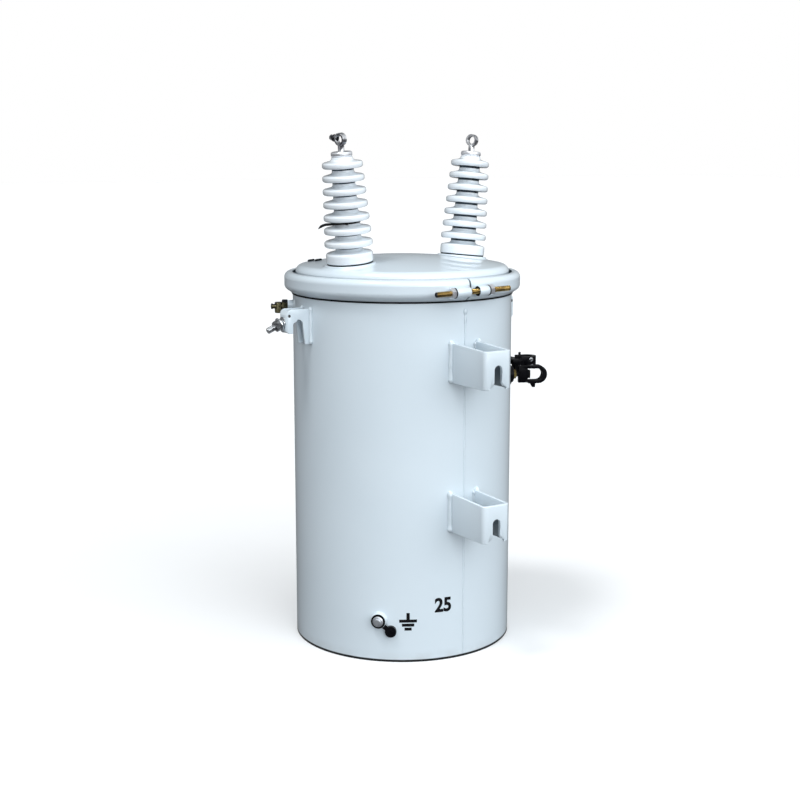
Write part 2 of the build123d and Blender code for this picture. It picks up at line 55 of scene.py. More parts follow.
# bearing and height of each place on the wall, the number's size, and a marking's reach out and in
RELIEF_PLACE = (-118, 665 * MM)
LOW_PLACES = {"front": (65, 518.5 * MM), "middle": (78, 537 * MM), "rear": (91, 518.5 * MM)}
GROUND_PLACE = (-44.5, 83 * MM)
PLUG_PLACE = (-38.5, 62 * MM)
EARTH_PLACE = (-29.8, 82 * MM)
NUMBER_PLACE = (-11.6, 95.5 * MM)
NUMBER_WIDTH, NUMBER_HEIGHT = 34 * MM, 29 * MM
MARK_PROUD, MARK_DEPTH = 0.25 * MM, 0.4 * MM

# plugs on the dome as X and Y, the middle low terminal's screw as sideways, up and out from the terminal's
# place, and the ground bolt's turn
COVER_PLUGS = ((-135 * MM, 125 * MM), (-137 * MM, 92 * MM))
LOW_SCREW = (-17.2 * MM, 3.7 * MM, 60.7 * MM)
GROUND_TURN = 12

# clamping band's draw bolt: its rod, and each sleeve's side and length
ROD_RADIUS, ROD_HALF, DRAW_TILT = 5 * MM, 83 * MM, 1.5
SLEEVE_RADIUS, SLEEVE_BORE, SLEEVE_GAP = 9.3 * MM, 7.4 * MM, 18.5 * MM
SLEEVES = {"left": (-1, 31.5 * MM), "right": (1, 23 * MM)}
SPRING_WASHER = 2.2 * MM

# hangers: fall of their top edge towards the web, reach of their foot below the CAD plate, the half width
# and the Y that bound the slot, and the heights over the foot between which the shade ends
HANGER_FALL, HANGER_FOOT = 5 * MM, 4 * MM
SLOT_REACH = 20.5 * MM
WEB_BACK = -300 * MM
SHADE_HEIGHTS = (38 * MM, 45 * MM)

# lifting lugs: each one's side and its bead's radius and reach in millimetres; then, as distance out and
# height, the small hole in each and where the left one's bolt hangs
LIFTING_LUGS = (("lifting_lug_left", -1, 3.6, 0.8), ("lifting_lug_right", 1, 2.8, -0.6))
LUG_HOLE, LUG_HOLE_RADIUS = (261 * MM, 657.5 * MM), 3.7 * MM
LUG_PIVOT = (TANK_RADIUS + 51.5 * MM, 644.5 * MM)
LUG_DROOP = 24
LUG_WASHER = 2.5 * MM

# porcelain bushing, in millimetres and degrees
BUSHING_LEAN = 6
DRUM_RADIUS, DRUM_HEIGHT, DRUM_TOP, DRUM_ROUND, DRUM_SLOPE = 44.5, 19.5, 28.0, 4.5, 13
SHED_COUNT, SHED_FIRST, SHED_PITCH = 7, 36.7, 24.3
SHED_RADII, SHED_NOSE, SHED_SLOPE = (45.6, 38.2), 6.5, 13
RIM_ROUNDS, RIM_REACH = (4.4, 4.2), (6.1, 5.5)
ROOT_ROUND, UNDERCUT, SHED_SHADOW_BAND = 5.0, 1.6, 5.0
CORE_RADII = (25.0, 20.0)
PORCELAIN_TOP = SHED_FIRST + (SHED_COUNT - 1) * SHED_PITCH + 14.6
CAP_TOP = PORCELAIN_TOP + 11.5
EYE_HEIGHT, SCREW_LEAN = PORCELAIN_TOP + 31.8, 9
BUSHING_SIDES = 96
TIE_TURN, TIE_WIDTH, TIE_THICKNESS = 220.7, 5.4, 1.6

# camera, as fitted to the photograph's edges
CAMERA_PLACE = (-1.486, -2.306, 0.960)
CAMERA_PITCH, CAMERA_TURN = -10.11, -32.8
CAMERA_LENS, CAMERA_SENSOR, CAMERA_SHIFT = 62.5, 36, -0.00275

# light: each bright side of the sky as bearing, elevation, sharpness and strength; then the sun and floor
SKY_BASE, SKY_TINT = 0.20, (0.95, 0.98, 1.0, 1)
SKY = (
    (-4, 23, 4.0, 3.4),
    (-110, 20, 2.0, 0.48),
    (70, 12, 2.0, 0.70),
)
SUN_BEARING, SUN_ELEVATION, SUN_STRENGTH, SUN_SPREAD = -80, 66, 1.12, 14
FLOOR_REACH, FLOOR_TONE, FLOOR_GLOW, FLOOR_BOUNCE = 40, 0.89, 0.04, 0.15

# colours: painted shade for the gaps, plate undersides and hanger channels, painted shade for deep gaps, and
# a painted shadow along the foot
PAINTED_SHADE = (0.030, 0.045, 0.058)
PLATE_SHADE = (0.24, 0.30, 0.35)
FOOT_SHADOW = (0.003, 0.004, 0.005)


# ---- places
def on_wall(bearing, height):
    """Frame on the tank's wall: X runs sideways, Y up and Z straight out."""
    out, up = direction(bearing, 0), Vector((0, 0, 1))
    return frame_of(out * TANK_RADIUS + up * height, up.cross(out), up, out)


def frame_of(place, x, y, z):
    """Frame at a place with these three axes."""
    made = Matrix((x, y, z)).transposed().to_4x4()
    made.translation = place
    return made


def along(start, axis, side=(0, 0, 1)):
    """Frame at a point whose Z runs along an axis."""
    z = Vector(axis).normalized()
    x = Vector(side)
    x = (x - z * x.dot(z)).normalized()
    return frame_of(Vector(start), x, z.cross(x), z)


def raised(place, height):
    """The same frame, moved along its own Z."""
    return place @ Matrix.Translation((0, 0, height))


def direction(bearing, elevation):
    """Towards a bearing and an elevation, both in degrees."""
    turn, rise = math.radians(bearing), math.radians(elevation)
    return Vector((math.sin(turn) * math.cos(rise), -math.cos(turn) * math.cos(rise), math.sin(rise)))


def millimetres(*pairs):
    """Pairs of millimetres as pairs of metres."""
    return [(a * MM, b * MM) for a, b in pairs]


def surface_of(node):
    """A CAD node's surface, to be searched by rays."""
    mesh = PIECES[node].data
    return BVHTree.FromPolygons([v.co for v in mesh.vertices], [p.vertices for p in mesh.polygons])


def drop_onto(tree, x, y):
    """Point and normal of a surface straight below a place."""
    return tree.ray_cast(Vector((x, y, 1)), Vector((0, 0, -1)))[:2]


# ---- meshes
def put_in(name, data):
    """Puts an object with this data into the scene."""
    made = bpy.data.objects.new(name, data)
    bpy.context.scene.collection.objects.link(made)
    return made


def add_piece(name, verts, faces, surface, slot, replaces=(), sharp=25):
    """Makes a piece of vertices and faces."""
    mesh = bpy.data.meshes.new(name)
    mesh.from_pydata([tuple(v) for v in verts], [], faces)
    return finish_mesh(name, mesh, surface, replaces, sharp)


def dress(mesh, surface, sharp):
    """Gives a mesh one finish, and smooth faces between its sharp edges."""
    mesh.materials.clear()
    mesh.materials.append(surface)
    mesh.polygons.foreach_set("use_smooth", [True] * len(mesh.polygons))
    mesh.set_sharp_from_angle(angle=math.radians(sharp))


def finish_mesh(name, mesh, surface, replaces, sharp):
    """Makes a piece of a mesh, with its finish and the CAD nodes that it stands for."""
    work = bmesh.new()
    work.from_mesh(mesh)
    bmesh.ops.recalc_face_normals(work, faces=work.faces)
    work.to_mesh(mesh)
    work.free()
    dress(mesh, surface, sharp)
    piece = put_in(name, mesh)
    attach(piece, "root")
    if replaces:
        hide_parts(*replaces)
    return piece


def stand_in(node, ending, made, surface, slot, sharp=25):
    """Makes a piece that stands for one CAD node and carries its name with an ending."""
    return add_piece(node + ending, *made, surface, slot, (node,), sharp)


def skin(rings, closed=False):
    """Joins rings of equal length into one skin. A closed skin's last ring meets its first."""
    count = len(rings[0])
    verts = [v for ring in rings for v in ring]
    faces = []
    for i in range(len(rings) if closed else len(rings) - 1):
        a, b = i * count, (i + 1) % len(rings) * count
        for j in range(count):
            k = (j + 1) % count
            faces.append((a + j, a + k, b + k, b + j))
    if closed:
        return verts, faces
    for first, ring in ((0, rings[0]), ((len(rings) - 1) * count, rings[-1])):
        verts.append(sum((Vector(v) for v in ring), Vector()) / count)
        for j in range(count):
            faces.append((first + j, first + (j + 1) % count, len(verts) - 1))
    return verts, faces


def join(parts):
    """Several skins as one."""
    verts, faces = [], []
    for some_verts, some_faces in parts:
        start = len(verts)
        verts.extend(some_verts)
        faces.extend(tuple(i + start for i in face) for face in some_faces)
    return verts, faces


def circle(place, radius, height, sides):
    """Points of a circle round the Z of a frame."""
    angles = [TAU * j / sides for j in range(sides)]
    return [place @ Vector((radius * math.cos(a), radius * math.sin(a), height)) for a in angles]


def turned(place, profile, sides, closed=False):
    """Turns a profile of (radius, height) pairs round the Z of a frame."""
    return skin([circle(place, radius, height, sides) for radius, height in profile], closed)


def tube(points, radii, up=(0, 0, 1)):
    """A round bar along points, with a radius at each point."""
    rings = []
    for i, point in enumerate(points):
        ahead = points[min(i + 1, len(points) - 1)] - points[max(i - 1, 0)]
        rings.append(circle(along(point, ahead, up), radii[i], 0, 12))
    return skin(rings)


def weld(points, radius, seed, lump, up=(0, 0, 1)):
    """A welded bead: a rippled bar with a rounded lump at each end."""
    pitch, step = 2.4 * MM, 0.7 * MM
    path, lengths = [points[0]], [0.0]
    for a, b in zip(points, points[1:]):
        run = (b - a).length
        cuts = max(1, round(run / step))
        for i in range(cuts):
            path.append(a.lerp(b, (i + 1) / cuts))
            lengths.append(lengths[-1] + run / cuts)
    whole = lengths[-1]
    radii, placed = [], []
    for point, length in zip(path, lengths):
        ripple = 1 + 0.10 * (abs(math.sin(math.pi * length / pitch)) - 0.5)
        uneven = 1 + 0.12 * noise.noise(Vector((length * 90, seed * 3.7, 0)))
        end = min(length, whole - length) / (radius * 1.8)
        swell = 1 + (lump - 1) * max(0.0, 1 - abs(end - 0.8) / 1.2)
        close = math.sqrt(max(0.0, 1 - (1 - min(1, end + 0.02)) ** 2))
        radii.append(max(radius * ripple * uneven * swell * close, radius * 0.05))
        placed.append(point + noise.noise_vector(Vector((length * 60, seed * 1.3, 5))) * radius * 0.10)
    return tube(placed, radii, up)


def hexagon(place, flats, height, hole=0.0, lower=True):
    """A hexagon nut or head, chamfered above and, if lower, below, with an open bore when hole is given."""
    half, sides = flats / 2, 48
    edge = half * 0.95
    hexed, drops = [], []
    for j in range(sides):
        angle = TAU * j / sides
        reach = half / math.cos((angle + math.pi / 6) % (math.pi / 3) - math.pi / 6)
        hexed.append((angle, reach))
        drops.append((reach - edge) * math.tan(math.radians(30)))

    def outline(heights):
        return [place @ Vector((r * math.cos(a), r * math.sin(a), z)) for (a, r), z in zip(hexed, heights)]

    foot = outline([drop if lower else 0.0 for drop in drops])
    crest = outline([height - drop for drop in drops])
    rings = [circle(place, edge, 0, sides), foot, crest, circle(place, edge, height, sides)]
    if not hole:
        return skin(rings)
    sink = hole * 1.12
    bore = ((sink, height), (hole, height - (sink - hole)), (hole, sink - hole))
    rings = [circle(place, sink, 0, sides)] + rings + [circle(place, r, z, sides) for r, z in bore]
    return skin(rings, closed=True)


def threaded(place, radius, length, pitch, plain=0.0):
    """A bar with a screw thread on it, chamfered at both ends. The first stretch may be plain."""
    sides, steps = 24, 6
    depth = pitch * 0.54
    chamfer = depth * 1.3
    rings = []
    count = round(length / pitch * steps)
    for i in range(count + 1):
        height = length * i / count
        ring = []
        for j in range(sides):
            angle = TAU * j / sides
            phase = (height / pitch - j / sides) % 1
            cut = depth * (1 - abs(2 * phase - 1)) if height > plain else 0.0
            reach = min(radius - cut, radius - chamfer + min(height, length - height))
            ring.append(place @ Vector((reach * math.cos(angle), reach * math.sin(angle), height)))
        rings.append(ring)
    return skin(rings)


def eased(node, width, surface, segments=3, reshape=None, spared=None):
    """A copy of a CAD node with its edges rounded, and reshaped first if asked, which stands for the node.

    Edges that the spared test picks by both their ends stay as sheared."""
    mesh = PIECES[node].data.copy()
    work = bmesh.new()
    work.from_mesh(mesh)
    bmesh.ops.remove_doubles(work, verts=work.verts, dist=2e-6)
    bmesh.ops.dissolve_limit(work, angle_limit=math.radians(0.4), verts=work.verts, edges=work.edges)
    if reshape:
        reshape(work.verts)
    sharp = [e for e in work.edges if len(e.link_faces) == 2 and e.calc_face_angle() > math.radians(30)
             and not (spared and all(spared(vert.co) for vert in e.verts))]
    bmesh.ops.bevel(work, geom=sharp, offset=width, segments=segments, profile=0.5,
                    affect="EDGES", clamp_overlap=False)
    bmesh.ops.triangulate(work, faces=[f for f in work.faces if len(f.verts) > 4])
    work.to_mesh(mesh)
    work.free()
    mesh.name = node + "_eased"
    return finish_mesh(node + "_eased", mesh, surface, (node,), 50)


def repaint(piece, surface, chosen):
    """Gives the faces that a test picks a finish of their own."""
    piece.data.materials.append(surface)
    for face in piece.data.polygons:
        if chosen(face):
            face.material_index = len(piece.data.materials) - 1


def ring_plate(place, radius, hole, thickness):
    """A flat washer with eased edges."""
    ease = 0.4 * MM
    return turned(place, [
        (hole + ease, 0), (radius - ease, 0), (radius, ease), (radius, thickness - ease),
        (radius - ease, thickness), (hole + ease, thickness), (hole, thickness - ease), (hole, ease),
    ], 48, closed=True)


def strap_ring(centre, across, deep, flat):
    """Outline of a flat strap with eased edges, from its half width and its half thickness."""
    corners = ((1, -0.6), (flat, -1), (-flat, -1), (-1, -0.6), (-1, 0.6), (-flat, 1), (flat, 1), (1, 0.6))
    return [centre + across * x + deep * y for x, y in corners]


# ---- material nodes
def add_node(tree, kind, inputs=None, **settings):
    """Adds a node with its settings. An input is a value, or the output that feeds it."""
    made = tree.nodes.new(kind)
    for key, value in settings.items():
        setattr(made, key, value)
    for socket, value in (inputs or {}).items():
        if isinstance(value, bpy.types.NodeSocket):
            tree.links.new(value, made.inputs[socket])
        else:
            made.inputs[socket].default_value = value
    return made


def math_node(tree, operation, a, b):
    return add_node(tree, "ShaderNodeMath", {0: a, 1: b}, operation=operation).outputs[0]


class Recipe:
    """A procedural material, written as a short list of node calls."""

    def __init__(self, name, **shader):
        self.material = bpy.data.materials.new(name)
        self.material.use_nodes = True
        self.tree = self.material.node_tree
        self.shader = self.tree.nodes["Principled BSDF"]
        for socket, value in shader.items():
            self.shader.inputs[socket.replace("_", " ")].default_value = value
        self.place = self.node("ShaderNodeTexCoord").outputs["Object"]

    def node(self, kind, inputs=None, **settings):
        return add_node(self.tree, kind, inputs, **settings)

    def noise(self, scale, detail, rough=0.5, stretch=None):
        where = self.place
        if stretch:
            where = self.node("ShaderNodeMapping", {"Vector": where, "Scale": stretch}).outputs[0]
        return self.node("ShaderNodeTexNoise", {
            "Vector": where, "Scale": scale, "Detail": detail, "Roughness": rough}).outputs["Fac"]

    def ramp(self, value, *stops):
        """Runs from one stop's colour or grey to the other's."""
        made = self.node("ShaderNodeValToRGB", {"Fac": value})
        for element, (position, colour) in zip(made.color_ramp.elements, stops):
            element.position = position
            element.color = (*colour, 1) if isinstance(colour, tuple) else (colour, colour, colour, 1)
        return made.outputs["Color"]

    def mix(self, share, a, b):
        """Colour a where the share is 0 and b where it is 1."""
        a, b = (colour if isinstance(colour, bpy.types.NodeSocket) else (*colour, 1) for colour in (a, b))
        return self.node("ShaderNodeMix", {0: share, 6: a, 7: b}, data_type="RGBA").outputs[2]

    def times(self, a, b):
        return math_node(self.tree, "MULTIPLY", a, b)

    def rise(self, vector, start, end):
        """How far a vector's Z has gone from start to end, from 0 to 1."""
        height = self.node("ShaderNodeSeparateXYZ", {"Vector": vector}).outputs["Z"]
        return self.node("ShaderNodeMapRange", {
            "Value": height, "From Min": start, "From Max": end}).outputs[0]

    def height_fade(self, low, high):
        """1 at the low height and 0 at the high one."""
        return self.rise(self.place, high, low)

    def underside(self, start, full):
        """0 on faces that look out or up and 1 on faces that look down, by the normal's height."""
        return self.rise(self.node("ShaderNodeNewGeometry").outputs["Normal"], start, full)

    def gap(self, reach, closed, open_air):
        """0 deep in a gap or crevice and 1 where the surface lies open."""
        shelter = self.node("ShaderNodeAmbientOcclusion", {"Distance": reach}, samples=8).outputs["AO"]
        return self.ramp(shelter, (closed, 0.0), (open_air, 1.0))

    def bump(self, height, strength, distance):
        inputs = {"Height": height, "Strength": strength, "Distance": distance}
        return self.node("ShaderNodeBump", inputs).outputs["Normal"]

    def link(self, socket, value):
        self.tree.links.new(value, self.shader.inputs[socket])

    def finish(self, colour, roughness, normal):
        """Links what every finish has, and gives the material."""
        for socket, value in (("Base Color", colour), ("Roughness", roughness), ("Normal", normal)):
            self.link(socket, value)
        return self.material


def enamel(name="pale_enamel", plate=False, shade=None):
    """Glossy pale enamel, sprayed: fine orange peel, faint clouding, painted shade in the gaps, a painted
    shadow along the foot.

    A plate's undersides get painted shade too, on faces that look down. A shade gives two heights: the
    painted shade of a sheltered place lies below the first and has gone at the second."""
    make = Recipe(name, Specular_IOR_Level=0.5, Coat_Weight=0.8, Coat_Roughness=0.03, Coat_IOR=1.5)
    cloud = make.ramp(make.noise(5, 4), (0.3, (0.632, 0.722, 0.788)), (0.7, (0.662, 0.752, 0.818)))
    specks = make.ramp(make.noise(900, 1), (0.70, 0.0), (0.76, 1.0))
    colour = make.mix(make.times(specks, 0.08), cloud, (0.33, 0.35, 0.36))
    # painted shade in gaps and corners, from ambient occlusion
    colour = make.mix(make.gap(0.030, 0.10, 0.42), PAINTED_SHADE, colour)
    # painted shade deep in wide gaps such as the hanger channels
    colour = make.mix(make.gap(0.085, 0.03, 0.16), PLATE_SHADE, colour)
    patches = make.ramp(make.noise(40, 5), (0.35, 0.0), (0.7, 1.0))
    dust = make.times(make.height_fade(0.0, 0.022), patches)
    colour = make.mix(make.times(dust, 0.30), colour, (0.30, 0.28, 0.25))
    if plate:
        # painted shade on plate faces that look down
        colour = make.mix(make.underside(-0.72, -0.92), colour, PAINTED_SHADE)
    if shade:
        # painted shade low on sheltered faces, below the first shade height
        colour = make.mix(make.height_fade(*shade), colour, PAINTED_SHADE)
    # a painted shadow along the tank's foot, over its lowest 4 to 5 mm
    colour = make.mix(make.height_fade(0.0042, 0.0050), colour, FOOT_SHADOW)
    peel = make.bump(make.noise(260, 2), 0.06, 0.0005)
    make.link("Coat Normal", peel)
    return make.finish(colour, make.ramp(make.noise(14, 4), (0.3, 0.30), (0.75, 0.38)), peel)


def porcelain():
    """White glazed porcelain: a clear glaze over an even body, with fine pinholes and painted shade in the
    tight gaps.
    """
    make = Recipe("white_porcelain", Coat_Weight=1.0, Coat_Roughness=0.02, Coat_IOR=1.52)
    body = make.ramp(make.noise(24, 4), (0.3, (0.775, 0.830, 0.880)), (0.7, (0.815, 0.865, 0.905)))
    holes = make.ramp(make.noise(700, 0), (0.76, 0.0), (0.79, 1.0))
    colour = make.mix(make.times(holes, 0.25), body, (0.25, 0.22, 0.2))
    # painted shade in tight gaps, from ambient occlusion
    colour = make.mix(make.gap(0.006, 0.05, 0.34), (0.05, 0.08, 0.10), colour)
    waves = make.bump(make.noise(46, 3, stretch=(1, 1, 2)), 0.10, 0.0012)
    return make.finish(colour, make.ramp(make.noise(30, 3), (0.3, 0.14), (0.7, 0.24)), waves)


def shed_shadow_glaze():
    """A band of painted shadow on a bushing's core right under each shed."""
    make = Recipe("shed_shadow_glaze", Specular_IOR_Level=0.3)
    tone = make.ramp(make.noise(60, 4), (0.35, (0.008, 0.013, 0.018)), (0.7, (0.060, 0.085, 0.110)))
    roughness = make.ramp(make.noise(50, 3), (0.3, 0.35), (0.7, 0.55))
    return make.finish(tone, roughness, make.bump(make.noise(300, 3), 0.15, 0.0005))


def plated(name, light, dark, low, high, stain=0.35):
    """Plated or bare metal: bright, with duller patches, dark spots and fine scratches."""
    make = Recipe(name, Metallic=1.0)
    patch = make.ramp(make.noise(55, 5, 0.6), (0.35, dark), (0.62, light))
    spots = make.ramp(make.noise(160, 3), (0.60, 0.0), (0.72, 1.0))
    colour = make.mix(make.times(spots, stain), patch, tuple(c * 0.25 for c in dark))
    scratches = make.bump(make.noise(240, 4, stretch=(1, 1, 3)), 0.12, 0.0005)
    return make.finish(colour, make.ramp(make.noise(90, 4), (0.3, low), (0.7, high)), scratches)


def moulded(name, tone, low, high, bump=0.25, **shader):
    """Rubber, moulded epoxy, a blackened casting or flat paint, a little worn."""
    make = Recipe(name, **shader)
    worn = make.ramp(make.noise(48, 5), (0.35, tone), (0.75, tuple(c * 1.8 + 0.002 for c in tone)))
    roughness = make.ramp(make.noise(70, 4), (0.3, low), (0.7, high))
    return make.finish(worn, roughness, make.bump(make.noise(160, 4), bump, 0.0006))


ENAMEL = enamel()
PLATE_ENAMEL = enamel("pale_enamel_plate", plate=True)
PORCELAIN = porcelain()
SHED_SHADOW_GLAZE = shed_shadow_glaze()
TIN = plated("bright_tin", (0.95, 0.96, 0.98), (0.16, 0.16, 0.18), 0.06, 0.14, stain=0.5)
SATIN = plated("satin_tin", (0.92, 0.93, 0.96), (0.78, 0.80, 0.84), 0.32, 0.42, stain=0.1)
GREY_ZINC = plated("grey_zinc", (0.66, 0.69, 0.73), (0.40, 0.43, 0.47), 0.32, 0.42, stain=0.3)
ZINC = plated("zinc_plate", (0.90, 0.92, 0.94), (0.62, 0.64, 0.67), 0.10, 0.22, stain=0.25)
WORN_ZINC = plated("worn_zinc", (0.86, 0.88, 0.90), (0.07, 0.07, 0.08), 0.10, 0.22, stain=0.7)
YELLOW = plated("yellow_passivate", (0.56, 0.38, 0.13), (0.16, 0.10, 0.035), 0.12, 0.26, stain=0.7)
BRASS = plated("yellow_brass", (0.60, 0.48, 0.18), (0.22, 0.16, 0.05), 0.10, 0.22, stain=0.5)
VALVE = plated("dull_brass", (0.34, 0.30, 0.17), (0.06, 0.055, 0.032), 0.14, 0.24, stain=0.7)
STEEL = plated("dark_steel", (0.060, 0.060, 0.066), (0.015, 0.015, 0.018), 0.30, 0.42)
RUBBER = moulded("black_rubber", (0.004, 0.005, 0.006), 0.40, 0.60, Specular_IOR_Level=0.12)
EPOXY = moulded("black_epoxy", (0.003, 0.003, 0.004), 0.12, 0.20, bump=0.15, Specular_IOR_Level=0.07)
CASTING = moulded("dark_casting", (0.003, 0.003, 0.004), 0.12, 0.22, Specular_IOR_Level=0.05)
NYLON = moulded("black_nylon", (0.003, 0.003, 0.004), 0.30, 0.42, Specular_IOR_Level=0.2)
# painted shade for the right flank of the tank seam's bead
SEAM_SHADE = moulded("pale_enamel_seam", (0.22, 0.28, 0.34), 0.40, 0.55, bump=0.1)
MARKING = moulded("black_marking", (0.002, 0.002, 0.003), 0.40, 0.55, bump=0.1, Specular_IOR_Level=0.15)


# ---- CAD nodes
def dress_nodes():
    """Gives every CAD node the finish of its material slot."""
    finishes = {
        "tank_paint": ENAMEL, "porcelain": PORCELAIN, "gasket": RUBBER, "tinned_bronze": TIN,
        "bronze": YELLOW, "zinc_steel": ZINC, "black_insulator": EPOXY, "black_terminal": CASTING,
        "valve_brass": VALVE, "tie_nylon": NYLON,
    }
    for node in PIECES.values():
        name = node.material_slots[0].material.name if node.material_slots else "tank_paint"
        dress(node.data, finishes[name.split(".")[0]], 32)


# ---- tank
def tank_seam():
    """The tank's lengthwise weld: a narrow rippled bead that starts from two lumps under the cover."""
    low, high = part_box("tank_seam")
    half, proud, across = 1.8 * MM, 1.5 * MM, 12
    step, pitch = 0.9 * MM, 2.6 * MM
    start = high.z - 9 * MM
    lumps = ((start - 5 * MM, 6 * MM, 2.0), (start - 21 * MM, 8 * MM, 0.9))
    rings = []
    count = round((start - low.z) / step)
    for i in range(count + 1):
        height = low.z + (start - low.z) * i / count
        wander = noise.noise(Vector((height * 14, 1, 0))) * 0.5 * MM
        swell = 1 + 0.10 * noise.noise(Vector((height * 70, 2, 0)))
        lump = sum(size * max(0.0, 1 - ((height - centre) / reach) ** 2) for centre, reach, size in lumps)
        ring = []
        for j in range(across + 1):
            share = 2 * j / across - 1
            ripple = 1 + 0.12 * math.sin(TAU * (height / pitch - 0.35 * (1 - share * share)))
            rise = proud * math.sqrt(max(0.0, 1 - share * share)) * ripple * swell
            rise += 1.1 * MM * lump * (1 - share * share)
            x = wander + share * half * (swell + 0.75 * lump)
            ring.append(Vector((x, -TANK_RADIUS - rise + 0.05 * MM, height)))
        for x in (half, -half):
            ring.append(Vector((wander + x, -TANK_RADIUS + 1.2 * MM, height)))
        rings.append(ring)
    bead = stand_in("tank_seam", "_bead", skin(rings), ENAMEL, "tank_paint", sharp=60)
    # the bead's right flank gets darker paint as painted shade
    repaint(bead, SEAM_SHADE, lambda face: face.normal.x > 0.4)


def band_shade_ring():
    """A dark rubber ring under the clamping band, put there as painted shade in the gap between band and tank
    wall.
    """
    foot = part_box("cover_band")[0].z / MM
    reach = TANK_RADIUS / MM
    # a dark ring that stands in for the shade under the band
    lip = turned(Matrix.Identity(4), millimetres(
        (reach - 0.3, foot - 2.6), (reach + 1.6, foot - 2.4), (reach + 2.3, foot - 1.4),
        (reach + 2.3, foot + 0.6), (reach - 0.3, foot + 0.9)), 256, closed=True)
    add_piece("band_shade_ring", *lip, RUBBER, "gasket", sharp=50)


# ---- hangers and lugs
def slope_hanger(verts):
    """Lets a hanger's top edge fall towards its web, and carries its foot a little lower."""
    top, foot = max(v.co.z for v in verts), min(v.co.z for v in verts)
    face = min(v.co.y for v in verts)
    for vert in verts:
        if vert.co.z > top - 0.1 * MM:
            vert.co.z -= HANGER_FALL * max(0.0, (vert.co.y + TANK_RADIUS) / (face + TANK_RADIUS))
        elif vert.co.z < foot + 0.1 * MM:
            vert.co.z -= HANGER_FOOT


def in_bolt_slot(point):
    """Whether a point lies on the outline of the slot in a hanger's web."""
    return abs(point.x) < SLOT_REACH and point.y < WEB_BACK


def faces_into_channel(face):
    """Whether a hanger's face is the inner side of one of its two legs."""
    x, normal = face.center.x, face.normal.x
    return abs(x) > SLOT_REACH and abs(normal) > 0.9 and x * normal < 0


def hangers():
    """Both pole hangers with rounded plate edges and the heavy fillet welds that hold them."""
    for name, seed in (("hanger_upper", 1), ("hanger_lower", 2)):
        piece = eased(name, 1.5 * MM, PLATE_ENAMEL, reshape=slope_hanger, spared=in_bolt_slot)
        low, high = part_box(name)
        # the inner faces of each channel get painted shade below the slot's top
        shade = tuple(low.z + height for height in SHADE_HEIGHTS)
        repaint(piece, enamel("pale_enamel_" + name, plate=True, shade=shade), faces_into_channel)
        foot = low.z - HANGER_FOOT
        beads = []
        for side in (-1, 1):
            x = side * (high.x + 0.8 * MM)
            beads.append(bead_on_tank(x, (foot - 1 * MM, high.z + 5 * MM), 4.6 * MM, seed * 7 + side, 1.25))
            x = side * (high.x - 6.6 * MM)
            beads.append(bead_on_tank(x, (foot + 2 * MM, high.z - 1 * MM), 2.6 * MM, seed * 9 + side, 1.3))
        add_piece(name + "_welds", *join(beads), PLATE_ENAMEL, "tank_paint", sharp=60)


def bead_on_tank(x, heights, radius, seed, lump):
    """A vertical bead where an upright plate meets the tank at x on the -Y side."""
    y = -math.sqrt(TANK_RADIUS ** 2 - x * x) - radius * 0.25
    return weld([Vector((x, y, z)) for z in heights], radius, seed, lump, up=(0, 1, 0))


def lifting_lugs():
    """Both lifting lugs with rounded edges, painted shade in the small hole, and a bead down each side of
    their foot.
    """
    for name, side, radius, proud in LIFTING_LUGS:
        lug = eased(name, 0.45 * MM, PLATE_ENAMEL)
        # the small hole's bore gets black rubber as painted shade
        repaint(lug, RUBBER, lambda face: (
            math.dist((face.center.x * side, face.center.z), LUG_HOLE) < LUG_HOLE_RADIUS))
        low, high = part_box(name)
        beads = []
        for y, edge in ((high.y + 1 * MM, 1), (low.y - 1 * MM, -1)):
            x = side * (math.sqrt(TANK_RADIUS ** 2 - y * y) + proud * MM)
            span = [Vector((x, y, low.z - 1 * MM)), Vector((x, y, high.z + 3.5 * MM))]
            beads.append(weld(span, radius * MM, side * 3 + edge, lump=1.25, up=(1, 0, 0)))
        add_piece(name + "_welds", *join(beads), PLATE_ENAMEL, "tank_paint", sharp=60)


def lug_bolt():
    """The bolt that hangs loose in the left lug: threaded shank with a head, chamfered nut, three washers."""
    droop = math.radians(LUG_DROOP)
    axis = Vector((-math.cos(droop), 0, -math.sin(droop)))
    pivot = Vector((-LUG_PIVOT[0], 0, LUG_PIVOT[1]))
    nut_side, head_side, bore, play, web = 13 * MM, 9.5 * MM, 6.2 * MM, 0.2 * MM, 5 * MM
    seat = nut_side * math.tan(droop) + play
    head = -(web + head_side * math.sin(droop)) / math.cos(droop) - LUG_WASHER - play

    def at(distance, way=1):
        return along(pivot + axis * distance, axis * way, (0, 1, 0))

    shank = threaded(at(head), 6 * MM, 47.5 * MM, 1.75 * MM, plain=9 * MM)
    bolt = join([shank, hexagon(at(head, -1), 17 * MM, 6 * MM, lower=False)])
    stand_in("lug_bolt", "_threaded", bolt, WORN_ZINC, "zinc_steel")
    nut = hexagon(at(seat + LUG_WASHER), 19 * MM, 10 * MM, hole=6 * MM)
    stand_in("lug_nut", "_chamfered", nut, WORN_ZINC, "zinc_steel")
    flat = along((pivot.x - 0.1 * MM, 0, pivot.z), (-1, 0, 0), (0, 1, 0))
    washers = [
        ring_plate(at(seat), nut_side, bore, LUG_WASHER),
        ring_plate(at(head), head_side, bore, LUG_WASHER),
        ring_plate(flat, 11.5 * MM, 7.6 * MM, 1.4 * MM),
    ]
    stand_in("lug_washers", "_rounded", join(washers), ZINC, "zinc_steel")


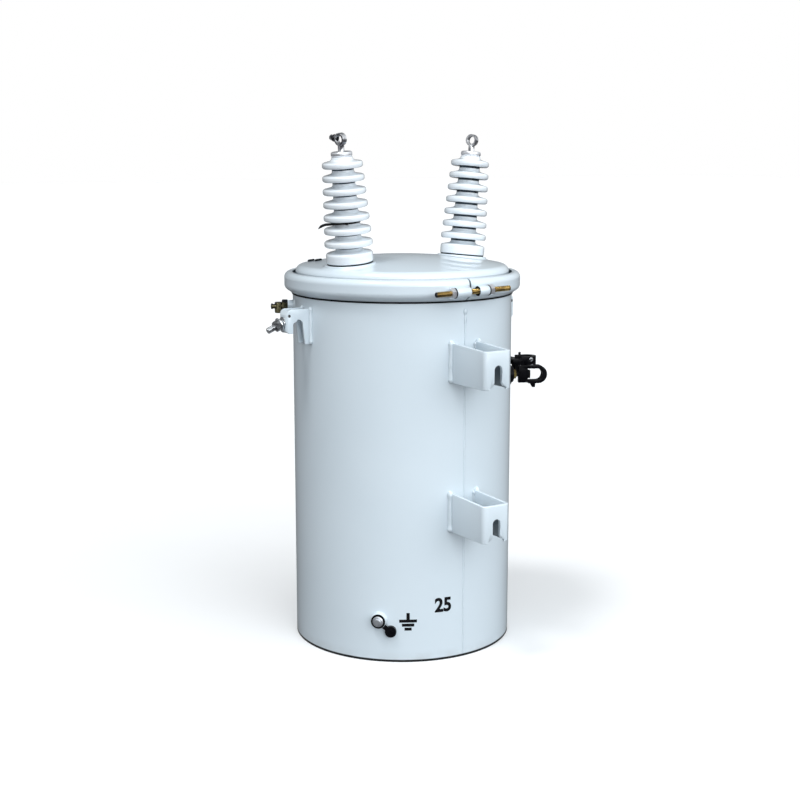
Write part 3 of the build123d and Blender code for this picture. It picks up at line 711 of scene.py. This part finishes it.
# ---- clamping band
def band_bolt():
    """The draw bolt: a threaded rod, and at each side a sleeve with welds, a dark spring washer and a nut."""
    low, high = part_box("band_rod")
    centre = (low + high) / 2
    tilt = math.radians(DRAW_TILT)
    axis = Vector((math.cos(tilt), 0, math.sin(tilt)))
    rod = threaded(along(centre - axis * ROD_HALF, axis), ROD_RADIUS, 2 * ROD_HALF, 1.25 * MM)
    rod = stand_in("band_rod", "_threaded", rod, YELLOW, "bronze")
    repaint(rod, STEEL, lambda face: (
        abs(face.normal.dot(axis)) > 0.55 and abs((face.center - centre).dot(axis)) > ROD_HALF - 2 * MM))
    for name, (side, length) in SLEEVES.items():
        start = SLEEVE_GAP / 2
        mouth, seat = (along(centre + axis * side * reach, axis * side, (0, 0.35, 1))
                       for reach in (start, start + length))
        band_sleeve(name, mouth, length)
        washer = ring_plate(seat, 9.9 * MM, 5.3 * MM, SPRING_WASHER)
        add_piece("band_washer_" + name, *washer, STEEL, "zinc_steel")
        nut = hexagon(raised(seat, SPRING_WASHER), 18 * MM, 8.6 * MM, hole=ROD_RADIUS)
        stand_in("band_nut_" + name, "_chamfered", nut, SATIN, "zinc_steel")
        sleeve_welds(name, side, centre, axis, length)


def band_sleeve(name, mouth, length):
    """A sleeve with rolled ends, with painted shade in its bore and on its mouth."""
    edge, bore, ease = SLEEVE_RADIUS, SLEEVE_BORE, 0.4 * MM
    tube_wall = turned(mouth, [
        (bore + 0.5 * MM, 0), (edge - ease, 0), (edge, 0.5 * MM), (edge, length - 0.5 * MM),
        (edge - ease, length), (bore + ease, length), (bore, length - ease), (bore, ease),
    ], 64, closed=True)
    sleeve = stand_in("band_sleeve_" + name, "_rolled", tube_wall, ENAMEL, "tank_paint", sharp=40)
    back = mouth.inverted()
    # bore and mouth faces get black rubber as painted shade
    repaint(sleeve, RUBBER, lambda face: (
        (back @ face.center).xy.length < bore + 0.35 * MM or (back @ face.center).z < 0.3 * MM))


def sleeve_welds(name, side, centre, axis, length):
    """A bead above and below a sleeve, where it lies against the band."""
    low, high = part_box("cover_band")
    band_radius = (high.y - low.y) / 2
    clear, steps = 2 * MM, 8
    beads = []
    for up in (-1, 1):
        points = []
        for i in range(steps + 1):
            spot = centre + axis * side * (SLEEVE_GAP / 2 + clear + (length - 2 * clear) * i / steps)
            y = -math.sqrt(band_radius ** 2 - spot.x ** 2) - 1.2 * MM
            points.append(Vector((spot.x, y, spot.z + up * 4.6 * MM)))
        beads.append(weld(points, 2.4 * MM, side * 5 + up, lump=1.15))
    add_piece("band_sleeve_" + name + "_welds", *join(beads), ENAMEL, "tank_paint", sharp=60)


# ---- bushings
def bushing_frames():
    """Frame of each bushing: at the porcelain's foot, with Z along its axis."""
    frames = {}
    lean = math.radians(BUSHING_LEAN)
    for side in ("left", "right"):
        gasket = PIECES["bushing_gasket_" + side].data
        middle = sum((v.co for v in gasket.vertices), Vector()) / len(gasket.vertices)
        spread = math.sin(lean) / math.hypot(middle.x, middle.y)
        axis = Vector((middle.x * spread, middle.y * spread, math.cos(lean)))
        frames[side] = along(middle + axis * 1 * MM, axis, (-middle.y, middle.x, 0))
    return frames


def arc(centre, radius, start, end, steps):
    """Points of an arc from one angle to another, in degrees."""
    points = []
    for i in range(steps + 1):
        turn = math.radians(start + (end - start) * i / steps)
        points.append((centre[0] + radius * math.cos(turn), centre[1] + radius * math.sin(turn)))
    return points


def core_radius(height):
    """Radius of a bushing's core at a height, both in millimetres."""
    share = (height - DRUM_TOP) / (PORCELAIN_TOP - DRUM_TOP)
    return CORE_RADII[0] + (CORE_RADII[1] - CORE_RADII[0]) * share


def root_curve(crest, core, slope):
    """A straight slope from a crest in towards the core, and the round that runs up into it."""
    meet = core + ROOT_ROUND
    rise = crest[1] + (crest[0] - meet) * math.tan(slope)
    corner = (core, rise + ROOT_ROUND * math.tan(slope))
    top = (core, corner[1] + ROOT_ROUND * 0.7)
    points, steps = [(meet, rise)], 5
    for i in range(1, steps + 1):
        t = i / steps
        points.append(tuple(
            (1 - t) ** 2 * a + 2 * t * (1 - t) * b + t * t * c for a, b, c in zip((meet, rise), corner, top)))
    return points


def shed_profile(index):
    """One shed from the core under it, round its upright rim, and up its slope to the core again."""
    height = SHED_FIRST + index * SHED_PITCH
    share = index / (SHED_COUNT - 1)
    rim = SHED_RADII[0] + (SHED_RADII[1] - SHED_RADII[0]) * share
    under = height - SHED_NOSE + UNDERCUT
    core = core_radius(under)
    low, top = RIM_ROUNDS
    # the first two points bound the band of painted shadow on the core under the shed
    points = [(core, under - SHED_SHADOW_BAND), (core, under - 0.5), (core + 1.2, under), (rim - 12, under - 0.5)]
    points += arc((rim - low, height - RIM_REACH[0] + low), low, -97, 0, 6)
    points += arc((rim - top, height + RIM_REACH[1] - top), top, 0, 90 - SHED_SLOPE, 6)
    return points + root_curve(points[-1], core_radius(height + 2 * SHED_NOSE), math.radians(SHED_SLOPE))


def porcelain_profile():
    """Half outline of a bushing, drum, seven sheds and the neck, and the spans in it under each shed that get
    a painted shadow.
    """
    points = arc((DRUM_RADIUS - 2.5, 2.5), 2.5, -90, 0, 4)
    points += arc((DRUM_RADIUS - DRUM_ROUND, DRUM_HEIGHT - DRUM_ROUND), DRUM_ROUND, 0, 90 - DRUM_SLOPE, 6)
    points += root_curve(points[-1], CORE_RADII[0], math.radians(DRUM_SLOPE))
    shadowed_spans = []
    for index in range(SHED_COUNT):
        shadowed_spans += [len(points), len(points) + 1]
        points += shed_profile(index)
    points += [(CORE_RADII[1], PORCELAIN_TOP - 1), (CORE_RADII[1] - 1, PORCELAIN_TOP)]
    return millimetres(*points), shadowed_spans


def bushings(frames):
    """Both porcelain bodies, turned from one profile, with their metal terminals eased."""
    profile, shadowed_spans = porcelain_profile()
    for side, place in frames.items():
        body = turned(place, profile, BUSHING_SIDES)
        body = stand_in("bushing_" + side, "_glazed", body, PORCELAIN, "porcelain", sharp=50)
        # the spans under each shed get a painted shadow
        repaint(body, SHED_SHADOW_GLAZE, lambda face: face.index // BUSHING_SIDES in shadowed_spans)
        terminal = eased("bushing_terminal_" + side, 0.4 * MM, TIN)
        back = place.inverted()
        repaint(terminal, SATIN, lambda face: (back @ face.center).z < CAP_TOP * MM)


def clamp_screw(frames):
    """The screw in the left terminal's eye: threaded shank, collar and a small hexagon head."""
    lean = math.radians(SCREW_LEAN)
    axis = Vector((-math.cos(lean), 0, math.sin(lean)))
    eye = Vector((0, 0, EYE_HEIGHT * MM))
    place = frames["left"] @ along(eye + axis * 7.8 * MM, axis, (0, 1, 0))
    shank = threaded(place, 4.2 * MM, 14 * MM, 1.25 * MM)
    collar = turned(raised(place, 4.3 * MM), millimetres(
        (6.2, 0), (7.0, 0.8), (7.0, 4.0), (5.6, 5.0), (5.2, 6.0)), 40)
    screw = join([shank, collar])
    add_piece("bushing_screw_threaded", *screw, STEEL, "tinned_bronze", ("bushing_screw_left",))
    head = hexagon(raised(place, 12.2 * MM), 9.5 * MM, 4.4 * MM)
    add_piece("bushing_screw_head", *head, TIN, "tinned_bronze")


def cable_tie(frames):
    """The black tie round the left bushing's core, with its head and its curved tail."""
    width, thickness = TIE_WIDTH, TIE_THICKNESS
    top = SHED_FIRST + 2 * SHED_PITCH - SHED_NOSE + 0.4
    inner = core_radius(top) + 0.25
    hoop = turned(frames["left"], millimetres(
        (inner, top - width), (inner + thickness, top - width + 0.2),
        (inner + thickness, top - 0.2), (inner, top)), 64, closed=True)
    out = direction(TIE_TURN, 0)
    up = Vector((0, 0, 1))
    run = up.cross(out)
    start = up * (top - width / 2) - out * (inner + thickness * 1.5)
    straight, bend_radius, bend, steps = 36.0, 23.0, 48, 10
    route = [(i * 2.0, 0.0, 0.0) for i in range(int(straight / 2) + 1)]
    for i in range(1, steps + 1):
        angle = math.radians(bend * i / steps)
        route.append((straight + bend_radius * math.sin(angle), -bend_radius * (1 - math.cos(angle)), -angle))
    rings = []
    for i, (ahead, drop, angle) in enumerate(route):
        taper = min(1.0, (len(route) - 0.6 - i) / 4)
        across = (run * -math.sin(angle) + up * math.cos(angle)) * width * 0.46 * taper
        ring = strap_ring(start + run * ahead + up * drop, across, out * thickness / 2, 0.8)
        rings.append([frames["left"] @ (corner * MM) for corner in ring])
    head = along(start - run * 3.5 - out * 0.4, run, out)
    sides = [(2.0, 3.0), (2.4, 2.6), (2.4, -2.6), (2.0, -3.0)]
    sides += [(-x, y) for x, y in reversed(sides)]
    block = [[frames["left"] @ ((head @ Vector((x, y, z))) * MM) for x, y in sides] for z in (0, 5.0)]
    tie = join([hoop, skin(rings), skin(block)])
    stand_in("bushing_tie", "_strap", tie, NYLON, "tie_nylon", sharp=50)


def pad_blends(frames):
    """The soft run from each bushing pad down to the dome."""
    tree = surface_of("cover")
    wall_radius, foot_radius, sides, steps = 49.3 * MM, 56.5 * MM, 96, 5
    sunk = Vector((0, 0, -1.5 * MM))
    for name, place in frames.items():
        rings = [[] for _ in range(steps + 2)]
        for out in circle(Matrix.Identity(4), 1, 0, sides):
            wall, foot = place @ (out * wall_radius), place @ (out * foot_radius)
            beside = wall + (place.to_3x3() @ out) * 1.5 * MM
            hit = drop_onto(tree, foot.x, foot.y)[0]
            base = Vector((wall.x, wall.y, drop_onto(tree, beside.x, beside.y)[0].z))
            crest = (place @ (out * wall_radius + Vector((0, 0, -4.2 * MM)))).z
            rise = max(min(crest - base.z, 6 * MM), 0.6 * MM)
            for k in range(steps + 1):
                turn = math.radians(90 * k / steps)
                spot = base.lerp(hit, 1 - math.sin(turn))
                spot.z += rise * (1 - math.cos(turn)) + 0.04 * MM
                rings[k].append(spot)
            rings[-1].append(base + sunk)
        blend = skin([[spot + sunk for spot in rings[0]]] + rings, closed=True)
        add_piece("pad_blend_" + name, *blend, ENAMEL, "tank_paint", sharp=80)


def cover_plugs():
    """Two small dark plugs near the left edge of the dome."""
    tree = surface_of("cover")
    profile = millimetres((0.4, -1), (7, -1), (7, 2.4), (6, 3.6), (0.4, 3.8))
    parts = []
    for x, y in COVER_PLUGS:
        point, normal = drop_onto(tree, x, y)
        parts.append(turned(along(point, normal, (1, 0, 0)), profile, 24))
    add_piece("cover_plugs", *join(parts), RUBBER, "gasket", sharp=30)


# ---- fittings on the wall
def relief_valve():
    """The relief valve: hexagon base, brass neck, upright hexagon barrel, and a pin with its pull ring."""
    wall = on_wall(*RELIEF_PLACE)
    base = hexagon(raised(wall, 10 * MM), 18 * MM, 11.5 * MM)
    drop = wall @ Matrix.Translation((0, -3 * MM, 0))
    neck = turned(raised(drop, 21 * MM), millimetres(
        (5.4, 0), (5.4, 3), (4.6, 3.6), (4.6, 18), (5.6, 18.6), (5.6, 20.4), (4.4, 21.2)), 32)
    centre = drop @ Matrix.Translation((0, 8.4 * MM, 27.5 * MM)) @ Matrix.Rotation(math.radians(90), 4, "X")
    valve = join([base, neck, hexagon(centre, 14 * MM, 21.5 * MM)])
    valve = stand_in("relief_valve", "_machined", valve, VALVE, "valve_brass")
    # faces that look up or down get dark steel as painted shade
    repaint(valve, STEEL, lambda face: abs(face.normal.z) > 0.6)
    pin = turned(raised(drop, 37 * MM), millimetres(
        (2.6, 0), (2.6, 4.4), (3.4, 4.8), (3.4, 5.6), (2.4, 6.2)), 24)
    loop = circle(drop, 4.4 * MM, 41.6 * MM, 24)
    loop.append(loop[0])
    pull = join([pin, tube(loop, [1.3 * MM] * len(loop), up=(0.3, 0.2, 1))])
    stand_in("relief_ring", "_wire", pull, STEEL, "zinc_steel", sharp=30)


def low_terminals():
    """The low voltage terminals: eased castings, chamfered brass nuts, black insulators, and one screw."""
    profile = millimetres(
        (20.6, -4), (21.3, -2), (21.3, 3.4), (20.4, 4.4), (16.6, 4.8), (16.0, 5.4), (16.0, 8.4),
        (15.2, 9.4), (11.4, 9.8), (10.8, 10.0), (6.0, 10.0))
    for name, place in LOW_PLACES.items():
        eased("low_eye_" + name, 0.25 * MM, CASTING, segments=2)
        wall = on_wall(*place)
        nut = hexagon(raised(wall, 10 * MM), 16 * MM, 6 * MM)
        stand_in("low_nut_" + name, "_chamfered", nut, BRASS, "valve_brass")
        body = turned(wall, profile, 64)
        stand_in("low_insulator_" + name, "_moulded", body, EPOXY, "black_insulator", sharp=30)
    place = on_wall(*LOW_PLACES["middle"]) @ Matrix.Translation(LOW_SCREW)
    screw = turned(place @ Matrix.Rotation(math.radians(-90), 4, "Y"), millimetres(
        (4.4, -1), (4.4, 1.0), (3.9, 1.5), (1.9, 1.6), (1.6, 0.8), (0.3, 0.7)), 32)
    add_piece("low_screw_middle", *screw, ZINC, "zinc_steel", sharp=30)


def ground_terminal():
    """Ground bolt with its seal washer and flange, its painted boss, and the drain plug on its strap."""
    wall = on_wall(*GROUND_PLACE)
    boss = turned(wall, millimetres(
        (16.4, -3), (16.4, 0.4), (15.4, 1.6), (15.0, 3.0), (15.0, 8.0), (14.2, 9.0), (6.0, 9.0)), 64)
    stand_in("ground_boss", "_eased", boss, ENAMEL, "tank_paint", sharp=40)
    seat = raised(wall, 9 * MM) @ Matrix.Rotation(math.radians(GROUND_TURN), 4, "Z")
    seal = ring_plate(seat, 13.8 * MM, 8 * MM, 2 * MM)
    add_piece("ground_seal_washer", *seal, RUBBER, "gasket", sharp=30)
    flange = turned(raised(seat, 2 * MM), millimetres(
        (9.8, 0), (10.2, 0.4), (10.2, 1.4), (9.4, 2.0), (8.0, 2.4), (7.0, 2.6)), 48)
    bolt = join([flange, hexagon(raised(seat, 4 * MM), 13.5 * MM, 6.8 * MM, lower=False)])
    stand_in("ground_bolt", "_flanged", bolt, GREY_ZINC, "zinc_steel")
    plug = on_wall(*PLUG_PLACE)
    cap = turned(plug, millimetres(
        (10.6, -3), (11.0, -1), (11.0, 6.6), (10.2, 7.8), (8.2, 8.0), (7.7, 7.0), (5.4, 7.0), (4.9, 7.9),
        (2.8, 8.0), (2.4, 6.2), (0.3, 6.1)), 56)
    strap = strap_between(raised(seat, 1.1 * MM).translation, raised(plug, 6.4 * MM).translation)
    stand_in("drain_plug", "_moulded", join([cap, strap]), EPOXY, "black_insulator", sharp=30)


def strap_between(bolt, plug):
    """The short flat strap by which the plug's cap hangs from the ring behind the bolt."""
    width, thickness, bolt_clear, plug_clear = 9 * MM, 1.8 * MM, 12.5 * MM, 10 * MM
    run = (plug - bolt).normalized()
    across = run.cross(Vector((bolt.x, bolt.y, 0))).normalized()
    deep = across.cross(run).normalized()
    ends = (bolt + run * bolt_clear, plug - run * plug_clear)
    return skin([strap_ring(end, across * width / 2, deep * -thickness / 2, 0.9) for end in ends])


# ---- markings
def bent(x, y, place, reach):
    """A point of a flat drawing, bent round the tank's axis at a place on the wall."""
    turn = math.radians(place[0]) + x / TANK_RADIUS
    return Vector((reach * math.sin(turn), -reach * math.cos(turn), place[1] + y))


def bent_bar(x0, x1, y0, y1, steps, place):
    """A thin rectangle on the tank's wall, its top and foot cut up so that it bends round the tank."""
    across = [x0 + (x1 - x0) * i / steps for i in range(steps + 1)]
    outline = [(x, y1) for x in across] + [(x, y0) for x in reversed(across)]
    verts = []
    for reach in (TANK_RADIUS + MARK_PROUD, TANK_RADIUS - MARK_DEPTH):
        verts += [bent(x, y, place, reach) for x, y in outline]
    total = len(outline)
    faces = []
    for i in range(steps):
        face = (i, i + 1, total - 2 - i, total - 1 - i)
        faces += [face, tuple(corner + total for corner in face)]
    for i in range(total):
        k = (i + 1) % total
        faces.append((i, k, k + total, i + total))
    return verts, faces


def earth_symbol():
    """The plain earth symbol beside the ground bolt: its bars' edges in millimetres, and their cuts."""
    bars = (
        (-3.1, 3.1, 2.0, 16, 2),
        (-17, 17, -2.9, 2.9, 12),
        (-11.8, 11.8, -10.9, -5.1, 8),
        (-6.8, 6.8, -18.8, -13.0, 4),
    )
    parts = [bent_bar(*(edge * MM for edge in edges), steps, EARTH_PLACE) for *edges, steps in bars]
    add_piece("earth_symbol", *join(parts), MARKING, "tank_paint", sharp=30)


def digits():
    """A plain two digit number painted low on the tank."""
    curve = bpy.data.curves.new("number_curve", "FONT")
    curve.body = "25"
    curve.offset = 0.034
    curve.resolution_u = 6
    source = put_in("number_source", curve)
    bpy.context.view_layer.update()
    mesh = bpy.data.meshes.new_from_object(source.evaluated_get(bpy.context.evaluated_depsgraph_get()))
    bpy.data.objects.remove(source)
    work = bmesh.new()
    work.from_mesh(mesh)
    across, up = [v.co.x for v in work.verts], [v.co.y for v in work.verts]
    left, width, foot = min(across), max(across) - min(across), min(up)
    wide, tall = NUMBER_WIDTH / width, NUMBER_HEIGHT / (max(up) - foot)
    cuts = 24
    for cut in range(1, cuts):
        at = left + width * cut / cuts
        bmesh.ops.bisect_plane(work, geom=[*work.verts, *work.edges, *work.faces],
                               plane_co=(at, 0, 0), plane_no=(1, 0, 0))
    made = bmesh.ops.extrude_face_region(work, geom=work.faces[:])
    back = {v for v in made["geom"] if isinstance(v, bmesh.types.BMVert)}
    for vert in work.verts:
        reach = TANK_RADIUS - MARK_DEPTH if vert in back else TANK_RADIUS + MARK_PROUD
        x, y = (vert.co.x - left - width / 2) * wide, (vert.co.y - foot) * tall
        vert.co = bent(x, y, NUMBER_PLACE, reach)
    work.to_mesh(mesh)
    work.free()
    finish_mesh("number", mesh, MARKING, (), 30)


# ---- stage
def camera():
    """The camera, at the front left and a little above the cover."""
    data = bpy.data.cameras.new("camera")
    data.lens = CAMERA_LENS
    data.sensor_width = CAMERA_SENSOR
    data.shift_x = CAMERA_SHIFT
    data.clip_start, data.clip_end = 0.05, 100
    shot = put_in("camera", data)
    shot.location = CAMERA_PLACE
    shot.rotation_euler = (math.radians(90 + CAMERA_PITCH), 0, math.radians(CAMERA_TURN))
    bpy.context.scene.camera = shot


def floor_surface():
    """White seamless paper. It throws back less light than it shows, as a grey studio floor would."""
    make = Recipe("pale_floor", Roughness=0.7, Specular_IOR_Level=0.1, Emission_Color=(1, 1, 1, 1),
                  Emission_Strength=FLOOR_GLOW)
    dim, lit = (tuple(FLOOR_TONE * shade * part for part in (0.98, 0.99, 1)) for shade in (0.99, 1.01))
    make.link("Base Color", make.ramp(make.noise(2, 3), (0.3, dim), (0.7, lit)))
    thrown = (FLOOR_BOUNCE, FLOOR_BOUNCE, FLOOR_BOUNCE * 1.03, 1)
    bounce = make.node("ShaderNodeBsdfDiffuse", {"Color": thrown})
    show_camera(make.tree, bounce, make.shader, make.tree.nodes["Material Output"])
    return make.material


def show_camera(tree, other, seen, output):
    """Shows one shader to the camera and the other one to all other rays."""
    ray = add_node(tree, "ShaderNodeLightPath").outputs["Is Camera Ray"]
    both = add_node(tree, "ShaderNodeMixShader", {0: ray, 1: other.outputs[0], 2: seen.outputs[0]})
    tree.links.new(both.outputs[0], output.inputs["Surface"])


def floor():
    """The wide floor under the object, which is stage and not part of it."""
    mesh = bpy.data.meshes.new("floor")
    corners = [(x * FLOOR_REACH, y * FLOOR_REACH, 0) for x, y in ((-1, -1), (1, -1), (1, 1), (-1, 1))]
    mesh.from_pydata(corners, [], [(0, 1, 2, 3)])
    mesh.materials.append(floor_surface())
    put_in("floor", mesh)


def sun():
    """A distant soft lamp, high up on the left."""
    data = bpy.data.lights.new("high_left", "SUN")
    data.energy = SUN_STRENGTH
    data.angle = math.radians(SUN_SPREAD)
    lamp = put_in("high_left", data)
    lamp.rotation_mode = "QUATERNION"
    lamp.rotation_quaternion = direction(SUN_BEARING, SUN_ELEVATION).to_track_quat("Z", "Y")


def lobe(tree, bearing, elevation, sharpness, strength):
    """Sky brightness that is strongest in one direction and fades away from it."""
    where = add_node(tree, "ShaderNodeTexCoord").outputs["Generated"]
    inputs = {0: where, 1: direction(bearing, elevation)}
    value = add_node(tree, "ShaderNodeVectorMath", inputs, operation="DOT_PRODUCT").outputs["Value"]
    for operation, amount in (("MAXIMUM", 0.0), ("POWER", sharpness), ("MULTIPLY", strength)):
        value = math_node(tree, operation, value, amount)
    return value


def studio():
    """White to the camera. A softer sky lights the object, brightest in front and less at both sides."""
    world = bpy.data.worlds.new("studio")
    bpy.context.scene.world = world
    world.use_nodes = True
    tree = world.node_tree
    light = tree.nodes["Background"]
    lobes = [lobe(tree, *side) for side in SKY]
    total = lobes[0]
    for value in lobes[1:] + [SKY_BASE]:
        total = math_node(tree, "ADD", total, value)
    light.inputs["Color"].default_value = SKY_TINT
    tree.links.new(total, light.inputs["Strength"])
    seen = add_node(tree, "ShaderNodeBackground", {"Color": (1, 1, 1, 1)})
    show_camera(tree, light, seen, tree.nodes["World Output"])
    bpy.context.scene.view_settings.view_transform = "Standard"


noise.seed_set(WELD_SEED)
camera()
dress_nodes()
tank_seam()
band_shade_ring()
hangers()
lifting_lugs()
lug_bolt()
band_bolt()
BUSHINGS = bushing_frames()
bushings(BUSHINGS)
clamp_screw(BUSHINGS)
cable_tie(BUSHINGS)
pad_blends(BUSHINGS)
cover_plugs()
relief_valve()
low_terminals()
ground_terminal()
earth_symbol()
digits()
floor()
studio()
sun()
